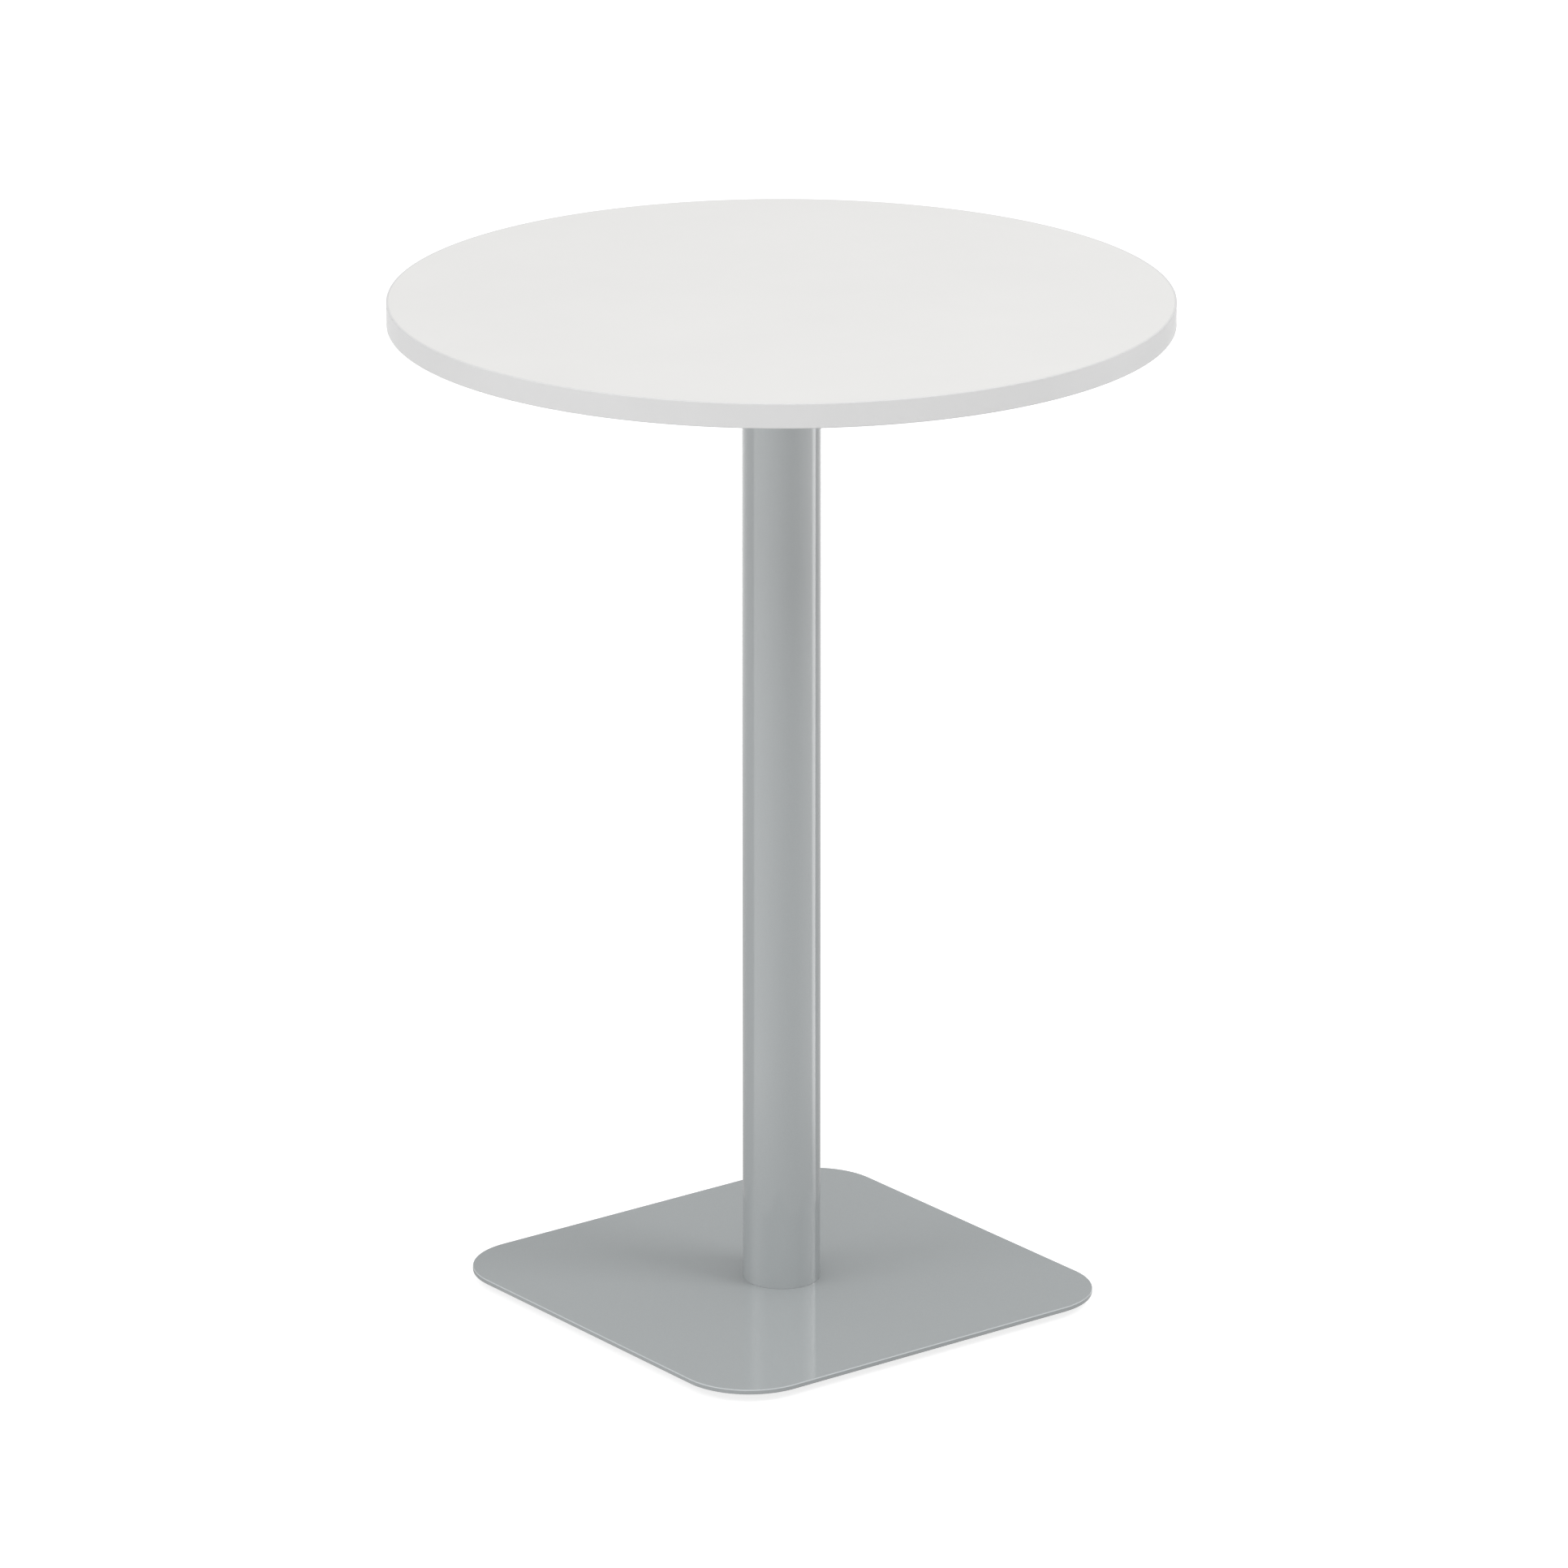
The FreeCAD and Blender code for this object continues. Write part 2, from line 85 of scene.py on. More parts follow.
def rim(edge):
    """An edge that runs round a piece, between two faces that meet at an outer corner."""
    if len(edge.link_faces) != 2 or upright(edge):
        return False
    return edge.calc_face_angle_signed(0) > outer_corner


def lying(face):
    return abs(face.normal.z) > 0.99


def face_outwards():
    bpy.ops.mesh.select_all(action="SELECT")
    bpy.ops.mesh.normals_make_consistent(inside=False)


def ease_rims(radius, segments):
    face_outwards()
    choose("EDGE", rim)
    bpy.ops.mesh.bevel(offset=radius, segments=segments, affect="EDGES")


def add_border(width):
    """A narrow border on the flat faces keeps them flat in the light beside a rounded edge."""
    choose("FACE", lying)
    bpy.ops.mesh.inset(thickness=width, use_even_offset=True)


def finish_mesh(piece):
    """Outward faces, smooth shading up to real edges, and flat faces that stay flat beside small bevels."""
    bpy.context.view_layer.objects.active = piece
    piece.select_set(True)
    bpy.ops.object.mode_set(mode="EDIT")
    face_outwards()
    bpy.ops.object.mode_set(mode="OBJECT")
    bpy.ops.object.shade_smooth_by_angle(angle=smooth_limit)
    piece.modifiers.new("flat_faces_first", "WEIGHTED_NORMAL").keep_sharp = True
    bpy.ops.object.modifier_apply(modifier="flat_faces_first")
    piece.select_set(False)


def settle(piece, body, node):
    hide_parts(node)
    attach(piece, body)


def turned(name, rings, bored=False, vertices=64):
    """Lathe work on the table's axis: each ring, a radius and a level, is drawn out of the one before."""
    start_afresh()
    radius, level = rings[0]
    bpy.ops.mesh.primitive_circle_add(
        vertices=vertices, radius=radius, location=(0, 0, level), fill_type="NOTHING" if bored else "NGON"
    )
    piece = start_piece(name)
    bpy.ops.mesh.select_mode(type="VERT")
    bpy.ops.mesh.select_all(action="SELECT")
    for next_radius, next_level in rings[1:]:
        bpy.ops.mesh.extrude_region_move(TRANSFORM_OT_translate={"value": (0, 0, next_level - level)})
        share = next_radius / radius
        bpy.ops.transform.resize(value=(share, share, 1), center_override=(0, 0, next_level))
        radius, level = next_radius, next_level
    if bored:
        choose("EDGE", lambda edge: edge.is_boundary)
        bpy.ops.mesh.bridge_edge_loops()
    face_outwards()
    return piece


def twin_at(piece, x, y, name):
    twin = piece.copy()
    twin.data = piece.data.copy()
    twin.name = twin.data.name = name
    bpy.context.scene.collection.objects.link(twin)
    twin.data.transform(Matrix.Translation((x, y, 0)))
    return twin


def join(first, *others):
    start_afresh()
    for piece in (first, *others):
        piece.select_set(True)
    bpy.context.view_layer.objects.active = first
    bpy.ops.object.join()
    return first


def carve(piece, tool, operation="DIFFERENCE"):
    """Takes the tool's shape out of the piece, keeps only what lies inside it, or adds it to the piece."""
    start_afresh()
    piece.select_set(True)
    bpy.context.view_layer.objects.active = piece
    saw = piece.modifiers.new("carve", "BOOLEAN")
    saw.object, saw.operation, saw.solver = tool, operation, "EXACT"
    bpy.ops.object.modifier_apply(modifier="carve")
    bpy.data.objects.remove(tool)


def drill(piece, rings, spots):
    """Turned holes of one section at each spot."""
    tool = turned("drill", rings, vertices=32)
    start_afresh()
    bits = [twin_at(tool, x, y, "drill_bit") for x, y in spots]
    bpy.data.objects.remove(tool)
    carve(piece, join(*bits))


def bore(piece, radius, bottom, top, spots):
    """Straight holes through a sheet."""
    drill(piece, ((radius, bottom - tool_overrun), (radius, top + tool_overrun)), spots)


def rounded_plate(name, low, high, corner, edge, border):
    """A plate cut from sheet. corner and edge each give a radius and the steps that round it."""
    start_afresh()
    bpy.ops.mesh.primitive_cube_add(size=1, location=(0, 0, (low[2] + high[2]) / 2))
    bpy.context.object.scale = Vector(high) - Vector(low)
    plate = start_piece(name)
    choose("EDGE", upright)
    bpy.ops.mesh.bevel(offset=corner[0], segments=corner[1], affect="EDGES")
    ease_rims(*edge)
    add_border(border)
    return plate


base = rounded_plate(
    "base_plate_coated", low, high, (base_corner_radius, 32), (base_edge_radius, 5), base_border
)
bore(base, bolt_hole_radius, base_underside, base_top, bolt_spots)
finish_mesh(base)
settle(base, "table", "base_plate")


def node_group(name, inputs, outputs):
    group = bpy.data.node_groups.new(name, "ShaderNodeTree")
    for socket, default in inputs.items():
        made = group.interface.new_socket(socket, in_out="INPUT", socket_type="NodeSocketFloat")
        made.default_value = default
    for socket in outputs:
        group.interface.new_socket(socket, in_out="OUTPUT", socket_type="NodeSocketFloat")
    return group, group.nodes.new("NodeGroupInput"), group.nodes.new("NodeGroupOutput")


def fine_grain_group():
    """Grain of a coated or moulded skin: a fine speckle, a slow mottle and a height for the bump."""
    scales = {"Speckle Scale": 2500, "Mottle Scale": 12, "Peel Scale": 420}
    group, given, result = node_group("fine_grain", scales, ("Speckle", "Mottle", "Height"))
    place = group.nodes.new("ShaderNodeTexCoord")
    for label, detail, output in (("Speckle", 2, "Speckle"), ("Mottle", 4, "Mottle"), ("Peel", 3, "Height")):
        noise = group.nodes.new("ShaderNodeTexNoise")
        noise.inputs["Detail"].default_value = detail
        noise.inputs["Roughness"].default_value = 0.55
        group.links.new(place.outputs["Object"], noise.inputs["Vector"])
        group.links.new(given.outputs[f"{label} Scale"], noise.inputs["Scale"])
        group.links.new(noise.outputs["Fac"], result.inputs[output])
    return group


fine_grain = fine_grain_group()
grain_range = (0.3, 0.7)


def new_material(name):
    material = bpy.data.materials.new(name)
    material.use_nodes = True
    return material, material.node_tree.nodes, material.node_tree.links


def sum_of(nodes, links, operation, *terms):
    node = nodes.new("ShaderNodeMath")
    node.operation = operation
    for socket, term in zip(node.inputs, terms):
        if isinstance(term, (int, float)):
            socket.default_value = term
        else:
            links.new(term, socket)
    return node.outputs["Value"]


def fade(nodes, links, value, span, levels, passage="SMOOTHSTEP"):
    """Passage from the first level to the second as the value goes over the span."""
    node = nodes.new("ShaderNodeMapRange")
    node.interpolation_type = passage
    for socket, number in zip(("From Min", "From Max", "To Min", "To Max"), (*span, *levels)):
        node.inputs[socket].default_value = number
    links.new(value, node.inputs["Value"])
    return node.outputs["Result"]


def grained_skin(name, grain, tint, roughness, relief, stops=grain_range, plain=None):
    """A material with the fine grain, at its three scales. tint and roughness each name the part of the grain
    that they follow and their two ends. relief is the bump's depth and strength, and plain is what is even."""
    material, nodes, links = new_material(name)
    shader = nodes["Principled BSDF"]
    for socket, value in (plain or {}).items():
        shader.inputs[socket].default_value = value
    skin = nodes.new("ShaderNodeGroup")
    skin.node_tree = fine_grain
    for label, scale in zip(("Speckle", "Mottle", "Peel"), grain):
        skin.inputs[f"{label} Scale"].default_value = scale
    colour = nodes.new("ShaderNodeValToRGB")
    for element, position, shade in zip(colour.color_ramp.elements, stops, tint[1:]):
        element.position, element.color = position, (*shade, 1)
    links.new(skin.outputs[tint[0]], colour.inputs["Fac"])
    links.new(colour.outputs["Color"], shader.inputs["Base Color"])
    rough = fade(nodes, links, skin.outputs[roughness[0]], grain_range, roughness[1:], "LINEAR")
    links.new(rough, shader.inputs["Roughness"])
    bump = nodes.new("ShaderNodeBump")
    bump.inputs["Distance"].default_value, bump.inputs["Strength"].default_value = relief
    links.new(skin.outputs["Height"], bump.inputs["Height"])
    links.new(bump.outputs["Normal"], shader.inputs["Normal"])
    return material


silver_coat = grained_skin(
    "silver_powder_coat",
    grain=(2600, 9, 650),
    tint=("Speckle", (0.383, 0.404, 0.410), (0.435, 0.459, 0.466)),
    roughness=("Mottle", 0.06, 0.09),
    relief=(0.00002, 0.15),
    stops=(0.25, 0.75),
)
# Painted shade on the base plate's side face and a painted highlight along its upper edge, set by height below
# the top.
painted_side_shade_tone, painted_highlight_gain = 0.96, 0.4
painted_side_shade_depths, painted_highlight_begins, painted_highlight_ends = (0.0011, 0.0008), (0.0010, 0.0007), (0.0002, 0)


def paint_edge_shade_and_highlight(material):
    """Painted shade and highlight: the coat is painted a shade darker on the base plate's cut side, and
    painted paler on its eased upper edge as a highlight.
    """
    nodes, links = material.node_tree.nodes, material.node_tree.links
    base_colour = nodes["Principled BSDF"].inputs["Base Color"]
    place = nodes.new("ShaderNodeTexCoord")
    parts = nodes.new("ShaderNodeSeparateXYZ")
    links.new(place.outputs["Object"], parts.inputs["Vector"])

    def below_top(depths, levels):
        span = tuple(base_top - depth for depth in depths)
        return fade(nodes, links, parts.outputs["Z"], span, levels)

    # Painted shade: the side face below the top edge is darkened.
    painted_side_shade = below_top(painted_side_shade_depths, (painted_side_shade_tone, 1))
    # Painted highlight: a pale line along the eased upper edge.
    painted_edge_highlight = sum_of(
        nodes, links, "MULTIPLY", below_top(painted_highlight_begins, (0, painted_highlight_gain)), below_top(painted_highlight_ends, (1, 0))
    )
    coat = nodes.new("ShaderNodeVectorMath")
    coat.operation = "SCALE"
    links.new(base_colour.links[0].from_socket, coat.inputs["Vector"])
    links.new(sum_of(nodes, links, "ADD", painted_side_shade, painted_edge_highlight), coat.inputs["Scale"])
    links.new(coat.outputs["Vector"], base_colour)


paint_edge_shade_and_highlight(silver_coat)


def dress(piece, material):
    piece.data.materials.clear()
    piece.data.materials.append(material)


dress(base, silver_coat)

# The levelling feet: zinc-plated studs with a rolled thread, welded under the plate, a hexagon-headed bush
# that runs on each stud, and a moulded pad that the bush's grooved body snaps into and turns in.
stud_radius, thread_root, thread_pitch = 0.004, 0.00345, 0.00125
crest_end, root_start, root_end = 0.15 * thread_pitch, 0.5 * thread_pitch, 0.65 * thread_pitch
stud_tip, stud_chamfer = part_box("foot_studs")[0][2], 0.0006
collar_radius, collar_height = 0.00525, 0.0008
collar_rim, collar_chamfer = 0.94 * collar_radius, 0.4 * collar_height
pad_low, pad_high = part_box("foot_pad_rear_right")
foot_offset, pad_top = (pad_low[0] + pad_high[0]) / 2, pad_high[2]
feet = {
    "front_left": (-foot_offset, -foot_offset),
    "front_right": (foot_offset, -foot_offset),
    "rear_left": (-foot_offset, foot_offset),
    "rear_right": (foot_offset, foot_offset),
}

rings = [(stud_radius - stud_chamfer, stud_tip), (stud_radius, stud_tip + stud_chamfer)]
while rings[-1][1] + thread_pitch < base_underside - collar_height:
    crest = rings[-1][1]
    rings += [
        (stud_radius, crest + crest_end),
        (thread_root, crest + root_start),
        (thread_root, crest + root_end),
        (stud_radius, crest + thread_pitch),
    ]
rings += [
    (stud_radius, base_underside - collar_height),
    (collar_rim, base_underside - collar_height),
    (collar_radius, base_underside - collar_height + collar_chamfer),
    (collar_radius, base_underside),
]
stud = turned("foot_stud", rings, vertices=48)
finish_mesh(stud)

zinc = grained_skin(
    "zinc_plating",
    grain=(1800, 90, 900),
    tint=("Mottle", (0.50, 0.52, 0.54), (0.66, 0.67, 0.66)),
    roughness=("Speckle", 0.26, 0.42),
    relief=(0.00002, 0.3),
    plain={"Metallic": 1.0},
)
pad_plastic = grained_skin(
    "moulded_pad_plastic",
    grain=(3000, 60, 1500),
    tint=("Mottle", (0.030, 0.030, 0.031), (0.042, 0.042, 0.043)),
    roughness=("Speckle", 0.48, 0.62),
    relief=(0.00004, 0.4),
)
dress(stud, zinc)
for corner, (x, y) in feet.items():
    settle(twin_at(stud, x, y, f"stud_{corner}"), "table", "foot_studs")
bpy.data.objects.remove(stud)

low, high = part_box("foot_bush_rear_right")
bush_low, bush_high = low[2], high[2]
hex_width, hex_chamfer = 0.015, 0.0006
hex_corner = hex_width / math.sqrt(3)
chamfer_inside, chamfer_outside = hex_width / 2 - hex_chamfer / 3, hex_corner + hex_chamfer / 2
bush_radius, groove_radius, bush_bore = 0.0065, 0.0056, 0.00405
groove_low, groove_high = 0.0028, 0.0044
collar_room, seam_overlap = 0.00555, 0.0001

start_afresh()
bpy.ops.mesh.primitive_cylinder_add(
    vertices=6,
    radius=hex_corner,
    depth=bush_high - pad_top,
    location=(0, 0, (bush_high + pad_top) / 2),
    rotation=(0, 0, math.radians(30)),
)
bush = start_piece("foot_bush")
chamfering = turned("chamfering_tool", (
    (chamfer_inside, pad_top - seam_overlap),
    (chamfer_outside, pad_top + hex_chamfer),
    (chamfer_outside, bush_high - hex_chamfer),
    (chamfer_inside, bush_high + seam_overlap),
), vertices=100)
carve(bush, chamfering, "INTERSECT")
body = turned("bush_body", (
    (bush_radius, bush_low),
    (bush_radius, groove_low),
    (groove_radius, groove_low),
    (groove_radius, groove_high),
    (bush_radius, groove_high),
    (bush_radius, pad_top + seam_overlap),
))
carve(bush, body, "UNION")
boring = turned("boring_tool", (
    (bush_bore, bush_low - tool_overrun),
    (bush_bore, bush_high - collar_height),
    (collar_room, bush_high - collar_height),
    (collar_room, bush_high + tool_overrun),
))
carve(bush, boring)
finish_mesh(bush)
dress(bush, zinc)

pad_radius, pad_edge, pad_floor = 0.017, 0.0012, 0.0014
cup_bore, cup_chamfer, lip_radius, lip_low, lip_high = 0.0068, 0.0003, 0.0059, 0.0031, 0.0041
sole_recess_radius, sole_recess = 0.0125, 0.0004


def rounded(radius, level, rounding, start, end, steps=5):
    """Rings along an arc of a turned outline, round a centre, from one angle to another in degrees."""
    angles = (math.radians(start + (end - start) * step / steps) for step in range(steps + 1))
    return [(radius + rounding * math.cos(a), level + rounding * math.sin(a)) for a in angles]


pad = turned("foot_pad", [
    (sole_recess_radius - sole_recess, sole_recess),
    (sole_recess_radius, 0),
    *rounded(pad_radius - pad_edge, pad_edge, pad_edge, -90, 0),
    *rounded(pad_radius - pad_edge, pad_top - pad_edge, pad_edge, 0, 90),
    (cup_bore + cup_chamfer, pad_top),
    (cup_bore, pad_top - cup_chamfer),
    (cup_bore, lip_high),
    (lip_radius, lip_high),
    (lip_radius, lip_low),
    (cup_bore, lip_low),
    (cup_bore, pad_floor),
])
finish_mesh(pad)
dress(pad, pad_plastic)

for corner, (x, y) in feet.items():
    bush_twin = twin_at(bush, x, y, f"bush_{corner}_zinc")
    settle(bush_twin, f"bush_{corner}", f"foot_bush_{corner}")
    pad_twin = twin_at(pad, x, y, f"pad_{corner}_moulded")
    settle(pad_twin, f"pad_{corner}", f"foot_pad_{corner}")
bpy.data.objects.remove(bush)
bpy.data.objects.remove(pad)

# The column: 80 mm round steel tube with a 2 mm wall, powder coated silver like the base. Steel discs
# are welded in both ends and tapped for the bolts that hold the plates. The bolts below are button-headed,
# on flat washers.
low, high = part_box("column_tube")
column_radius, column_wall, column_edge_radius = (high[0] - low[0]) / 2, 0.002, 0.0003
bolt_radius, bolt_tip, bolt_head, bolt_socket = 0.004, 0.0008, (0.007, 0.0044), (0.005, 0.0026)
bolt_washer_bore, bolt_washer_radius = 0.0042, 0.008
washer_edge_radius = 0.00018


def tube(name, outside, wall, bottom, top, vertices):
    """A turned ring or tube, from its inner lower edge round to its inner upper edge."""
    inside = outside - wall
    outline = ((inside, bottom), (outside, bottom), (outside, top), (inside, top))
    return turned(name, outline, bored=True, vertices=vertices)


column = tube("column_tube_coated", column_radius, column_wall, low[2], high[2], vertices=192)
ease_rims(column_edge_radius, 2)
finish_mesh(column)
settle(column, "table", "column_tube")
dress(column, silver_coat)

disc_steel = grained_skin(
    "bare_steel_disc",
    grain=(1200, 70, 500),
    tint=("Mottle", (0.30, 0.29, 0.28), (0.46, 0.45, 0.44)),
    roughness=("Speckle", 0.4, 0.6),
    relief=(0.00004, 0.4),
    plain={"Metallic": 1.0},
)
for node in ("column_top_disc", "column_base_disc"):
    dress(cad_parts[node], disc_steel)
dress(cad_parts["column_top_bolts"], zinc)


def set_of(piece, spots, node):
    """Copies of a fastener at its places, all on the table's own body."""
    finish_mesh(piece)
    dress(piece, zinc)
    for number, (x, y) in enumerate(spots, start=1):
        settle(twin_at(piece, x, y, f"{piece.name}_{number}"), "table", node)
    bpy.data.objects.remove(piece)


def flat_washers(name, inside, outside, spots, node):
    low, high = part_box(node)
    washer = tube(name, outside, outside - inside, low[2], high[2], vertices=64)
    ease_rims(washer_edge_radius, 2)
    set_of(washer, spots, node)


def button_screws(name, shank, tip, head, socket, spots, node):
    """Screws that point up: head gives a radius and a height, socket a width across flats and a depth."""
    low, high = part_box(node)
    bottom, top = low[2], high[2]
    head_radius, head_height = head
    crown = head_height * 0.75
    screw = turned(name, [
        (head_radius - crown, bottom),
        *rounded(head_radius - crown, bottom + crown, crown, -90, 0, 8)[1:],
        (head_radius, bottom + head_height),
        (shank, bottom + head_height),
        (shank, top - tip),
        (shank - tip, top),
    ])
    corner, depth = socket[0] / math.sqrt(3), socket[1]
    mouth, mouth_depth, point, point_depth = 1.12 * corner, 0.00025, 0.3 * corner, 0.0003
    key = turned("socket_tool", (
        (1.3 * corner, bottom - tool_overrun),
        (mouth, bottom),
        (corner, bottom + mouth_depth),
        (corner, bottom + depth - point_depth),
        (point, bottom + depth),
    ), vertices=6)
    carve(screw, key)
    set_of(screw, spots, node)


flat_washers("base_bolt_washer", bolt_washer_bore, bolt_washer_radius, bolt_spots, "column_base_washers")
button_screws("base_bolt", bolt_radius, bolt_tip, bolt_head, bolt_socket, bolt_spots, "column_base_bolts")

# The mounting plate: a square of 5 mm sheet steel with rounded corners, coated silver. Countersunk bolts
# hold it on the column, and button-headed screws on flat washers go through it into inserts in the top.
low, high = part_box("mounting_plate")
plate_underside, plate_top = low[2], high[2]
plate_corner_radius, plate_edge_radius, plate_border = 0.025, 0.0005, 0.003
screw_offset, screw_hole_radius = 0.14, 0.0035
screw_radius, screw_tip, screw_head, screw_socket = 0.003, 0.0006, (0.00525, 0.0033), (0.004, 0.002)
screw_washer_bore, screw_washer_radius = 0.0032, 0.006
seat_radius, seat_sink = 0.00805, 0.0002
screw_spots = tuple(
    (screw_offset * x, screw_offset * y) for x in (-1, 0, 1) for y in (-1, 0, 1) if (x, y) != (0, 0)
)

plate = rounded_plate(
    "mounting_plate_coated", low, high, (plate_corner_radius, 20), (plate_edge_radius, 3), plate_border
)
bore(plate, screw_hole_radius, plate_underside, plate_top, screw_spots)
drill(plate, (
    (bolt_hole_radius, plate_underside - tool_overrun),
    (bolt_hole_radius, plate_top - seat_sink - (seat_radius - bolt_hole_radius)),
    (seat_radius, plate_top - seat_sink),
    (seat_radius, plate_top + tool_overrun),
), bolt_spots)
finish_mesh(plate)
settle(plate, "table", "mounting_plate")
dress(plate, silver_coat)

flat_washers("plate_screw_washer", screw_washer_bore, screw_washer_radius, screw_spots, "mounting_washers")
button_screws(
    "plate_screw", screw_radius, screw_tip, screw_head, screw_socket, screw_spots, "mounting_screws",
)
dress(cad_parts["threaded_inserts"], zinc)

# The tabletop: a chipboard disc with white laminate above and a white balancing sheet below,
# and a white plastic band glued round the rim.
round_steps, sheet_border, insert_bore = 360, 0.01, 0.00505
band_thickness, band_edge_radius = 0.002, 0.001

chipboard = grained_skin(
    "chipboard",
    grain=(420, 160, 500),
    tint=("Speckle", (0.36, 0.24, 0.14), (0.62, 0.47, 0.31)),
    roughness=("Mottle", 0.75, 0.92),
    relief=(0.0003, 0.6),
)
white_laminate = grained_skin(
    "white_laminate",
    grain=(1500, 7, 1100),
    tint=("Mottle", (0.812, 0.807, 0.795), (0.826, 0.821, 0.808)),
    roughness=("Speckle", 0.46, 0.56),
    relief=(0.00003, 0.3),
)
white_band_plastic = grained_skin(
    "white_band_plastic",
    grain=(2200, 14, 1300),
    tint=("Mottle", (0.739, 0.738, 0.737), (0.751, 0.750, 0.749)),
    roughness=("Speckle", 0.42, 0.52),
    relief=(0.00002, 0.3),
    plain={"Specular IOR Level": 0.25},
)


def lay_sheet(name, node, spots=()):
    """A round laminate sheet, with holes where the inserts go in."""
    low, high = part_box(node)
    sheet = turned(name, ((high[0], low[2]), (high[0], high[2])), vertices=round_steps)
    add_border(sheet_border)
    if spots:
        bore(sheet, insert_bore, low[2], high[2], spots)
    finish_mesh(sheet)
    settle(sheet, "table", node)
    dress(sheet, white_laminate)


lay_sheet("top_laminate_sheet", "tabletop_laminate")
lay_sheet("balancing_sheet", "tabletop_backer", screw_spots)
dress(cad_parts["tabletop_core"], chipboard)

low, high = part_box("edge_band")
band_radius = high[0]
band = tube("rim_edge_band", band_radius, band_thickness, low[2], high[2], vertices=round_steps)


def outer_rim(edge):
    return rim(edge) and all(v.co.xy.length > band_radius - band_thickness / 2 for v in edge.verts)


choose("EDGE", outer_rim)
bpy.ops.mesh.bevel(offset=band_edge_radius, segments=4, affect="EDGES")
finish_mesh(band)
settle(band, "table", "edge_band")
dress(band, white_band_plastic)

# The studio: a pale floor that runs on as the background, soft light from all round with two high panels
# and two standing ones, and the camera where the photograph was taken from. Bearings are in degrees,
# to the right of the camera as seen from the table.
photo_turn = math.radians(-37.36)
photo_width, focal_pixels, film_width = 1932, 11421.0, 36
camera_place, camera_tilt, camera_swing = (-0.015417, -8.961646, 3.461584), math.radians(90 - 18.009), -0.002
floor_radius, floor_grey, floor_lift = 14, (0.45, 0.45, 0.45, 1), 0.8
left_edge, left_slope, right_slope, right_edge = (-92, -82), (-76, 25), (25, 95), (114, 120)
right_gleam_edge = (98, 104)
front_glow, right_rise, left_gleam, right_gleam = 0.22, 0.9, 1.2, 1.9
far_span, far_levels = (1.0, 3.6), (0.3, 1.25)
gain_span, gain_levels = (1.2, 3.0), (1, 1.7)
base_shade_span, base_shade_levels = (0.25, 0.8), (0.3, 1)
low_air, upper_air, air_span = 0.3, 1.05, (0.4, 0.75)
left_strip, left_strip_edges = 0.9, ((-92, -86), (-74, -60))
right_strip, strip_top_span = 1.2, (0.37, 0.45)
left_streak, left_streak_edges = 2.4, ((-112, -92), (-74, -36))
right_streak, right_streak_edges = 4.6, ((50, 102), (114, 126))
more_than_once = 1.5


def in_view(right, away, up):
    """A point given as the photographer sees it: to the right, away from the camera and up, in metres."""
    return tuple(Matrix.Rotation(photo_turn, 3, "Z") @ Vector((right, away, up)))


def bearing_and_height(nodes, links, direction):
    """The bearing and the upward part of a direction or a place, as the photographer sees it."""
    turn = nodes.new("ShaderNodeVectorRotate")
    turn.rotation_type = "Z_AXIS"
    turn.inputs["Angle"].default_value = -photo_turn
    links.new(direction, turn.inputs["Vector"])
    parts = nodes.new("ShaderNodeSeparateXYZ")
    links.new(turn.outputs["Vector"], parts.inputs["Vector"])
    toward = sum_of(nodes, links, "MULTIPLY", parts.outputs["Y"], -1)
    angle = sum_of(nodes, links, "ARCTAN2", parts.outputs["X"], toward)
    return sum_of(nodes, links, "DEGREES", angle), parts.outputs["Z"]


def strip(nodes, links, bearing, begins, ends, level):
    """A bright upright stretch between two bearings, with the span over which it begins to show and ends."""
    return sum_of(
        nodes, links, "MULTIPLY",
        fade(nodes, links, bearing, begins, (0, level)),
        fade(nodes, links, bearing, ends, (1, 0)),
    )


def all_of(nodes, links, *terms):
    total = terms[0]
    for term in terms[1:]:
        total = sum_of(nodes, links, "ADD", total, term)
    return total


def seen_plainly(nodes, links, path):
    """Rays that come from the camera, also through something clear."""
    return sum_of(nodes, links, "MAXIMUM", path.outputs["Is Camera Ray"], path.outputs["Is Transmission Ray"])


start_afresh()
bpy.ops.mesh.primitive_circle_add(vertices=96, radius=floor_radius, fill_type="NGON", location=(0, 0, 0))
floor = bpy.context.object
floor.name = "studio_floor"
bpy.ops.object.transform_apply(location=True, rotation=True, scale=True)
floor_white, nodes, links = new_material("studio_floor_white")
floor_white.cycles.emission_sampling = "NONE"
shader = nodes["Principled BSDF"]
shader.inputs["Base Color"].default_value = floor_grey
shader.inputs["Roughness"].default_value = 0.9
shader.inputs["Specular IOR Level"].default_value = 0.0
shader.inputs["Emission Color"].default_value = (1, 1, 1, 1)
path = nodes.new("ShaderNodeLightPath")
place = nodes.new("ShaderNodeTexCoord")
bearing, _ = bearing_and_height(nodes, links, place.outputs["Object"])
from_middle = nodes.new("ShaderNodeVectorMath")
from_middle.operation = "LENGTH"
links.new(place.outputs["Object"], from_middle.inputs[0])
distance = from_middle.outputs["Value"]
before_table = all_of(
    nodes, links,
    strip(nodes, links, bearing, left_edge, right_edge, front_glow),
    strip(nodes, links, bearing, right_slope, right_edge, right_rise),
)
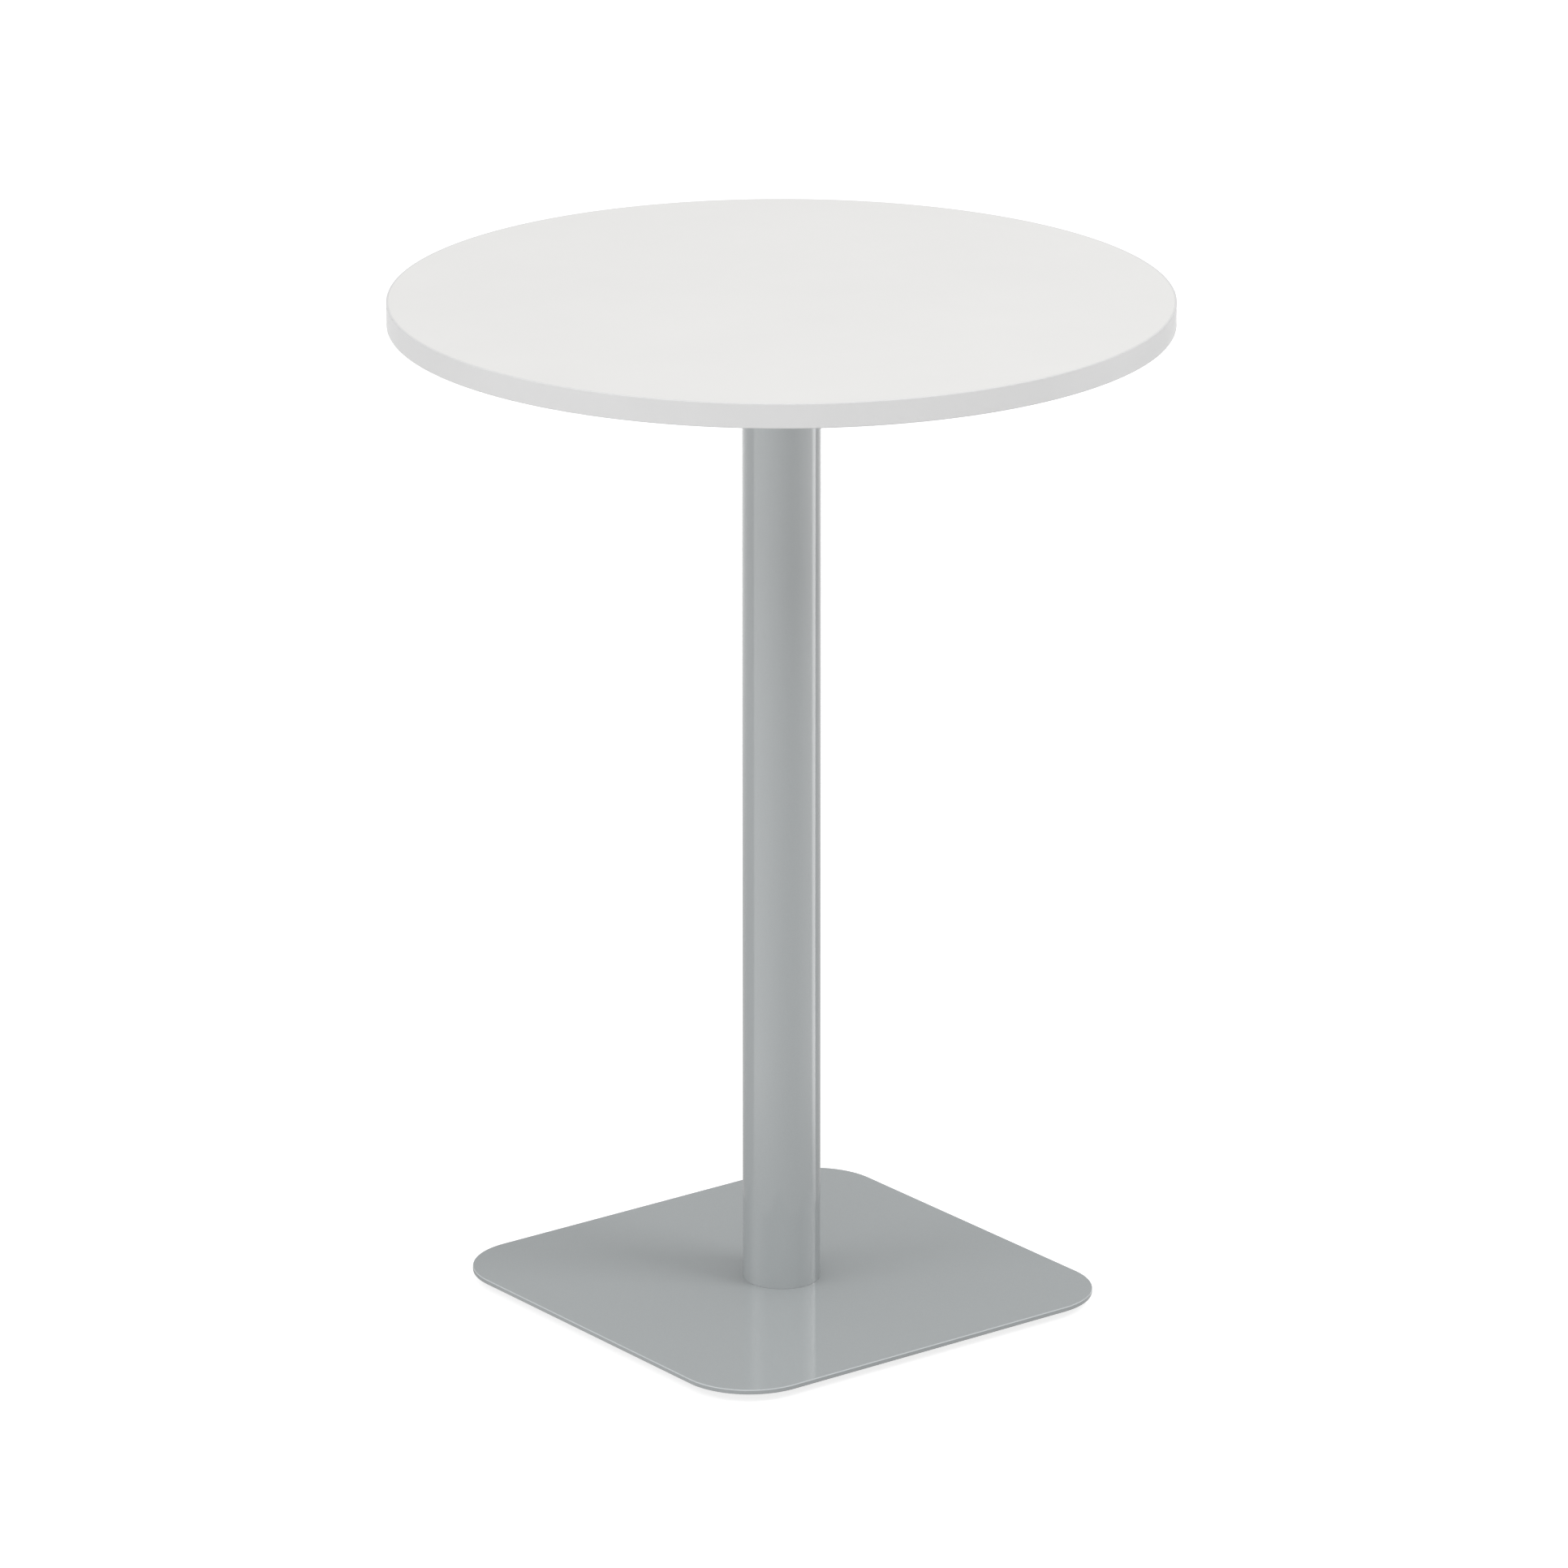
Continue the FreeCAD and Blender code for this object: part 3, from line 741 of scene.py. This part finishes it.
# Painted light on the floor that only mirror rays see: glows by bearing and distance that stand in for studio
# lights in reflections.
mirrored = all_of(
    nodes, links,
    fade(nodes, links, distance, far_span, far_levels),
    sum_of(nodes, links, "MULTIPLY", before_table, fade(nodes, links, distance, gain_span, gain_levels)),
    strip(nodes, links, bearing, left_edge, left_slope, left_gleam),
    strip(nodes, links, bearing, right_gleam_edge, right_edge, right_gleam),
)
# Painted shade: the floor's mirrored glow is darkened near the base.
base_painted_shade = fade(nodes, links, distance, base_shade_span, base_shade_levels)
mirrored = sum_of(nodes, links, "MULTIPLY", mirrored, base_painted_shade)
mirrored = sum_of(nodes, links, "MULTIPLY", mirrored, path.outputs["Is Glossy Ray"])
glow = sum_of(nodes, links, "MULTIPLY_ADD", seen_plainly(nodes, links, path), floor_lift, mirrored)
links.new(glow, shader.inputs["Emission Strength"])
dress(floor, floor_white)

world = bpy.data.worlds.new("studio_air")
bpy.context.scene.world = world
world.use_nodes = True
nodes, links = world.node_tree.nodes, world.node_tree.links
look = nodes.new("ShaderNodeTexCoord")
bearing, up = bearing_and_height(nodes, links, look.outputs["Generated"])
path = nodes.new("ShaderNodeLightPath")
mirrored = all_of(
    nodes, links,
    strip(nodes, links, bearing, *left_strip_edges, left_strip),
    strip(nodes, links, bearing, right_gleam_edge, right_edge, right_strip),
)
# Light that the column throws on into the glossy base, as two pale streaks: only rays mirrored twice meet it.
twice_mirrored = all_of(
    nodes, links,
    strip(nodes, links, bearing, *left_streak_edges, left_streak),
    strip(nodes, links, bearing, *right_streak_edges, right_streak),
)
again = sum_of(nodes, links, "GREATER_THAN", path.outputs["Glossy Depth"], more_than_once)
mirrored = sum_of(nodes, links, "MULTIPLY_ADD", twice_mirrored, again, mirrored)
mirrored = sum_of(nodes, links, "MULTIPLY", mirrored, fade(nodes, links, up, strip_top_span, (1, 0)))
low_light = sum_of(nodes, links, "MULTIPLY_ADD", mirrored, path.outputs["Is Glossy Ray"], low_air)
height = fade(nodes, links, up, air_span, (0, 1))
level = sum_of(nodes, links, "MULTIPLY", low_light, sum_of(nodes, links, "SUBTRACT", 1, height))
level = sum_of(nodes, links, "MULTIPLY_ADD", height, upper_air, level)
level = sum_of(nodes, links, "MAXIMUM", level, seen_plainly(nodes, links, path))
air = nodes["Background"]
air.inputs["Color"].default_value = (1, 1, 1, 1)
links.new(level, air.inputs["Strength"])


def soft_panel(name, bearing, rise, distance, width, height, watts):
    """A panel that faces the table from a bearing and a rise, in degrees. It isn't seen or mirrored."""
    data = bpy.data.lights.new(name, "AREA")
    data.shape = "RECTANGLE"
    data.size, data.size_y = width, height
    data.energy = watts
    lamp = bpy.data.objects.new(name, data)
    bpy.context.scene.collection.objects.link(lamp)
    bearing, rise = math.radians(bearing), math.radians(rise)
    flat = distance * math.cos(rise)
    place = Vector(in_view(flat * math.sin(bearing), -flat * math.cos(bearing), distance * math.sin(rise)))
    lamp.visible_camera = lamp.visible_glossy = False
    lamp.location = place
    lamp.rotation_euler = (-place).to_track_quat("-Z", "Y").to_euler()


soft_panel("right_panel", bearing=68, rise=51, distance=8.0, width=3.0, height=3.0, watts=144)
soft_panel("left_panel", bearing=-62, rise=47, distance=8.0, width=3.0, height=3.0, watts=64)
soft_panel("left_stand", bearing=-80, rise=7.3, distance=5.5, width=4.8, height=1.2, watts=30)
soft_panel("front_stand", bearing=-12, rise=7.3, distance=5.5, width=4.8, height=1.2, watts=83)

camera_data = bpy.data.cameras.new("photo_camera")
camera_data.sensor_fit = "HORIZONTAL"
camera_data.sensor_width = film_width
camera_data.lens = focal_pixels / photo_width * film_width
camera_data.clip_end = 100
camera = bpy.data.objects.new("photo_camera", camera_data)
bpy.context.scene.collection.objects.link(camera)
camera.location = in_view(*camera_place)
camera.rotation_euler = (camera_tilt, 0, photo_turn + camera_swing)
bpy.context.scene.camera = camera
bpy.context.scene.view_settings.view_transform = "Standard"
